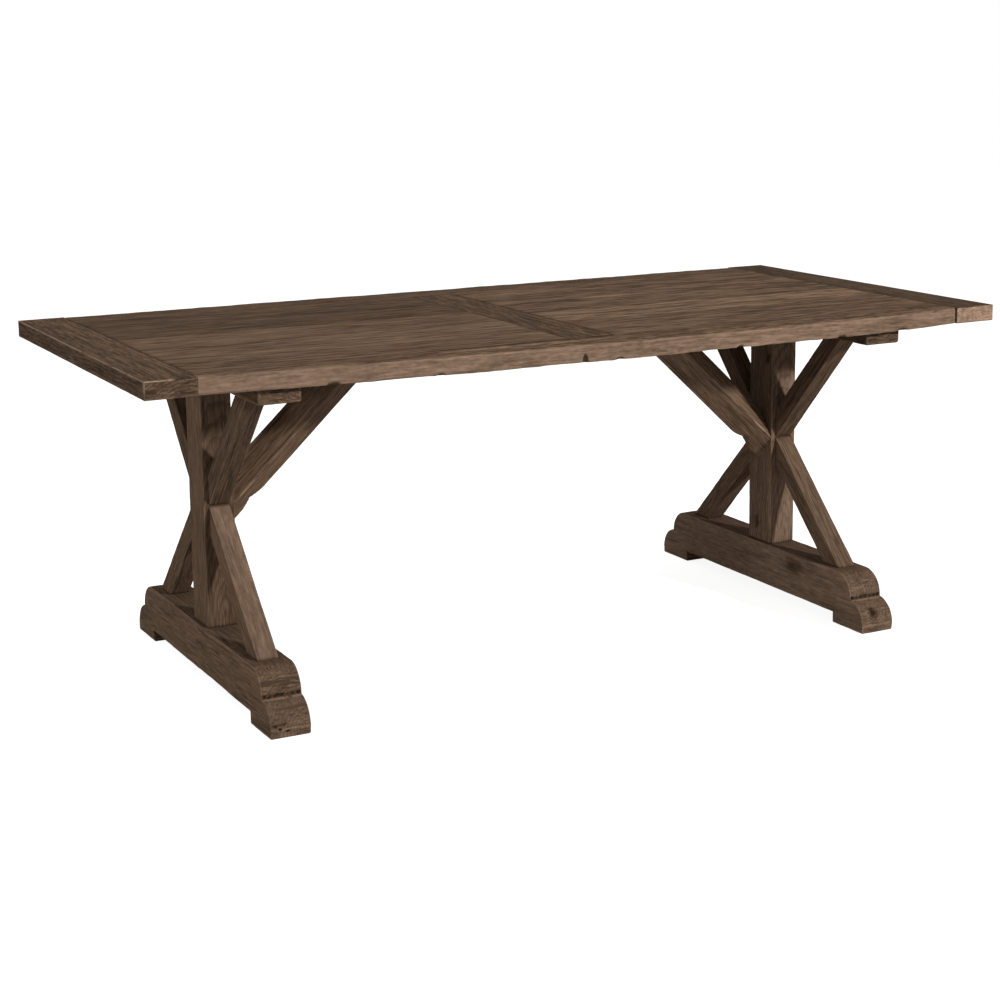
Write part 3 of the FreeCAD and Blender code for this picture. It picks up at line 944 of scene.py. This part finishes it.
def build_brace(side, tone):
    """A square beam on its diagonal, from the post's inner face up to the top, with a double-lobed foot."""
    name = "brace_" + side
    low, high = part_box(name)
    hand = 1 if low.x > 0 else -1
    post_x = high.x if hand > 0 else low.x
    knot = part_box("upper_arm_front_" + side)[0].z
    slope = math.tan(brace_angle)
    seat_bottom = knot - brace_side / math.sqrt(2) / math.cos(brace_angle)

    def arris(out, rise):
        return (out, seat_bottom + out * slope + rise)

    tip = arris(0.0, brace_tip_rise)
    cusp = arris(brace_cusp_out, brace_cusp_rise)
    shoulder = arris(brace_lobe_start, 0.0)
    under = lobe_points(tip, cusp, brace_lower_bulge, 16)
    under += lobe_points(cusp, shoulder, brace_upper_bulge, 12)[1:]
    under_out, under_z = np.transpose(under)

    def scrolled(points):
        out = (post_x - points[:, 0]) * hand
        points[:, 2] = np.maximum(points[:, 2], np.interp(out, under_out, under_z, right=-1.0))
        return points

    way = np.array((-hand * math.cos(brace_angle), 0, math.sin(brace_angle)))
    above = np.array((hand * math.sin(brace_angle), 0, math.cos(brace_angle)))
    edge = (above + hand * Y) / math.sqrt(2) * brace_side / 2
    scroll_share = 0.32
    shares = np.concatenate([np.arange(0, scroll_share, 0.005), np.linspace(scroll_share, 1, 28)])
    lean = ((1 - shares) * slope - shares / slope) / math.sqrt(2)
    length = (high.z - knot) / math.sin(brace_angle)
    centre = np.array((post_x, 0, knot)) + way * (length * shares)[:, None]
    half_edge = edge + way * (lean * brace_side / 2)[:, None]
    worn_out = 0.035
    worn_place = (post_x - hand * worn_out, -brace_side / math.sqrt(2), knot + worn_out * slope)
    end_wear = pit(worn_place, (0.03, 0.0025, 0.03), dark=0.0, worn=0.45)
    timber(
        name, centre - half_edge, centre + half_edge, -brace_side / 2, brace_side / 2,
        trestle_wood, "trestle_wood",
        grain=way, radii=(0.0015, 0.0018, 0.0015, 0.0018), steps=(14, 14), end_ease=0.0006,
        rough=(0.0006, 0.0006, 0.0006, 0.0006), rub=(0.1, 0.1, 0.1, 0.1), pits=[end_wear],
        slant=lean, shape=scrolled, tone=tone,
    )


def build_trestle(
    side, lower_bare, upper_tone, brace_tone, bearer_tone, post_bare, foot_bare, post_pits, foot_pits,
):
    foot_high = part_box("foot_" + side)[1]
    bearer_low, bearer_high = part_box("bearer_" + side)
    post_low, post_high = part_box("post_" + side)
    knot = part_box("upper_arm_front_" + side)[0].z
    knot_wear = pit((post_low.x, post_low.y, knot - 0.007), (0.0025, 0.0025, 0.05), dark=0.0, worn=0.3)
    # post_bare makes the post's front and −X faces paler, as painted light
    board(
        "post_" + side,
        (post_low.x, post_low.y, foot_high.z),
        (post_high.x, post_high.y, bearer_low.z),
        2, trestle_wood, "trestle_wood",
        radii=(0.003, 0.003, 0.003, 0.003), steps=(9, 10), end_ease=0.0006, trim=0.0,
        rough=(0.0007, 0.0006, 0.0007, 0.0006), rub=(0.1, 0.1, 0.1, 0.1), pits=post_pits + [knot_wear],
        bare=(post_bare, 0, 0, post_bare / 2), end_dirt=0.8,
        fine=(foot_high.z + 0.008, bearer_low.z - 0.008),
        figured=0.7, heart=((0.006, -0.110), (0.0, 0.21)), tone=1.14,
    )
    # bearer_tone sets the bearer's tone, with painted shade where it is below one
    board(
        "bearer_" + side, bearer_low, bearer_high, 1, trestle_wood, "trestle_wood",
        radii=(0.005, 0.005, 0.002, 0.002), steps=(9, 6), end_ease=0.004, trim=0.0, end_bare=0.1,
        heart=((0.03, -0.13), (0.0, 0.0)), tone=bearer_tone,
    )
    build_foot("foot_" + side, foot_bare, foot_pits)
    # upper_tone darkens the upper front arm as painted shade
    for level, place, bare, tone in (
        ("upper", "front", 0.0, upper_tone),
        ("upper", "back", 0.0, 0.9),
        ("lower", "front", lower_bare, 1.1),
        ("lower", "back", 0.0, 1.0),
    ):
        build_arm("%s_arm_%s_%s" % (level, place, side), bare, tone)
    build_brace(side, brace_tone)


build_top()
build_trestle(
    "left",
    lower_bare=1.0, upper_tone=0.8, brace_tone=1.3, bearer_tone=1.05, post_bare=0.1, foot_bare=0.15,
    post_pits=[],
    foot_pits=[
        pit(on("foot_left", 0.011, 0, 0.026), (0.004, 0.02, 0.003), (0, 0.004, 0)),
        pit(on("foot_left", 0.022, 0, 0.019), (0.005, 0.02, 0.0035), (0, 0.004, 0)),
        pit(on("foot_left", 0.031, 0, 0.028), (0.003, 0.02, 0.003), (0, 0.003, 0)),
        pit(on("foot_left", 0.038, 0, 0.014), (0.004, 0.02, 0.003), (0, 0.004, 0)),
    ],
)
build_trestle(
    "right",
    lower_bare=0.2, upper_tone=0.95, brace_tone=1.5, bearer_tone=0.75, post_bare=0.3, foot_bare=0.65,
    post_pits=[
        # Painted light: two pools of light on the right post's front face
        pit(on("post_right", 0.036, 0, 0.168), (0.06, 0.02, 0.13), dark=0.0, bare=0.7),
        pit(on("post_right", 0.060, 0, 0.463), (0.02, 0.02, 0.045), dark=0.0, bare=1.0),
        pit(on("post_right", 0, 0.021, 0.542), (0.01, 0.011, 0.020), (0.0015, 0, 0), 0.8),
        pit(on("post_right", 0, 0.059, 0.111), (0.01, 0.012, 0.020), (0.0015, 0, 0), 0.8),
    ],
    foot_pits=[
        pit(on("foot_right", 0.036, 0.002, 0.048), (0.016, 0.03, 0.018), dark=0.45),
        pit(on("foot_right", 0.036, 0.002, 0.048), (0.007, 0.03, 0.012), (0, 0.002, 0), 0.9),
        pit(on("foot_right", 0, 0.286, 0.103), (0.01, 0.040, 0.021), dark=0.5),
        pit(on("foot_right", 0, 0.290, 0.103), (0.01, 0.016, 0.009), (0.0015, 0, 0), 0.8),
    ],
)

for node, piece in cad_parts.items():
    if "bolts" in node:
        piece.data.materials.clear()
        piece.data.materials.append(bolt_steel)
    elif "tenons" in node or "pegs" in node:
        piece.data.materials.clear()
        piece.data.materials.append(joinery_wood)


# Floor, light and camera
def pale_floor():
    """A pale floor that takes the shadow and shows white to the camera."""
    mesh = bpy.data.meshes.new("floor")
    size = 12
    corners = [(-size, -size, 0), (size, -size, 0), (size, size, 0), (-size, size, 0)]
    mesh.from_pydata(corners, [], [(0, 1, 2, 3)])
    floor = bpy.data.objects.new("floor", mesh)
    floor.location.z = -0.0005
    bpy.context.scene.collection.objects.link(floor)
    material = bpy.data.materials.new("pale_floor")
    tree, bsdf = shader(material)
    bsdf.inputs["Base Color"].default_value = (0.55, 0.55, 0.55, 1)
    bsdf.inputs["Roughness"].default_value = 0.9
    bsdf.inputs["Specular IOR Level"].default_value = 0.0
    bsdf.inputs["Emission Color"].default_value = (1, 1, 1, 1)
    seen = direct_rays(tree)
    tree.links.new(maths(tree, "MULTIPLY", seen, 0.88), bsdf.inputs["Emission Strength"])
    mesh.materials.append(material)


def direct_rays(tree):
    """1 for camera, glossy and transmission rays, else 0."""
    path = tree.nodes.new("ShaderNodeLightPath")
    rays = [path.outputs[label] for label in ("Is Camera Ray", "Is Glossy Ray", "Is Transmission Ray")]
    return maths(tree, "MAXIMUM", maths(tree, "MAXIMUM", rays[0], rays[1]), rays[2])


def white_world(ambient):
    world = bpy.data.worlds.new("studio")
    bpy.context.scene.world = world
    world.use_nodes = True
    tree = world.node_tree
    background = next(node for node in tree.nodes if node.type == "BACKGROUND")
    background.inputs["Color"].default_value = (1, 1, 1, 1)
    strength = put(tree, "ShaderNodeMapRange", (direct_rays(tree), 0, 1, ambient, 1))
    tree.links.new(strength, background.inputs["Strength"])


def stand(thing, place, turn):
    """Puts a lamp or a camera at a place, with its axes as the turn's columns."""
    bpy.context.scene.collection.objects.link(thing)
    thing.matrix_world = Matrix.Translation(place) @ Matrix(turn.tolist()).to_4x4()


def area_light(name, place, target, width, depth, watts):
    data = bpy.data.lights.new(name, "AREA")
    data.shape = "RECTANGLE"
    data.size = width
    data.size_y = depth
    data.energy = watts
    back = np.subtract(place, target)
    back = back / np.linalg.norm(back)
    right = np.cross(Z if abs(back[2]) < 0.99 else Y, back)
    right = right / np.linalg.norm(right)
    turn = np.stack([right, np.cross(back, right), back], 1)
    stand(bpy.data.objects.new(name, data), place, turn)


def photo_camera():
    """A camera at the photograph's place, with its own small roll."""
    place = (-2.1759, -4.1881, 1.4382)
    yaw, pitch, roll = (math.radians(v) for v in (27.135, -10.434, -0.64))
    forward = np.array((math.sin(yaw) * math.cos(pitch), math.cos(yaw) * math.cos(pitch), math.sin(pitch)))
    right = np.array((math.cos(yaw), -math.sin(yaw), 0))
    up = np.cross(right, forward)
    turn = np.stack([
        math.cos(roll) * right + math.sin(roll) * up,
        math.cos(roll) * up - math.sin(roll) * right,
        -forward,
    ], 1)
    data = bpy.data.cameras.new("camera")
    data.sensor_width = 36
    data.lens = 72.27
    data.shift_y = -0.10
    camera = bpy.data.objects.new("camera", data)
    stand(camera, place, turn)
    bpy.context.scene.camera = camera


pale_floor()
white_world(ambient=0.32)
area_light("key", (2.9, -6.1, 2.9), target=(0, 0, 0.5), width=0.37, depth=0.37, watts=375)
area_light("overhead", (0.3, 0.4, 4.2), target=(0, 0, 0.7), width=4.0, depth=2.4, watts=48)
area_light("side", (-11.3, -1.5, 2.7), target=(0, 0, 0.3), width=3.0, depth=1.6, watts=400)
photo_camera()
bpy.context.scene.view_settings.view_transform = "Standard"

bpy.context.view_layer.update()
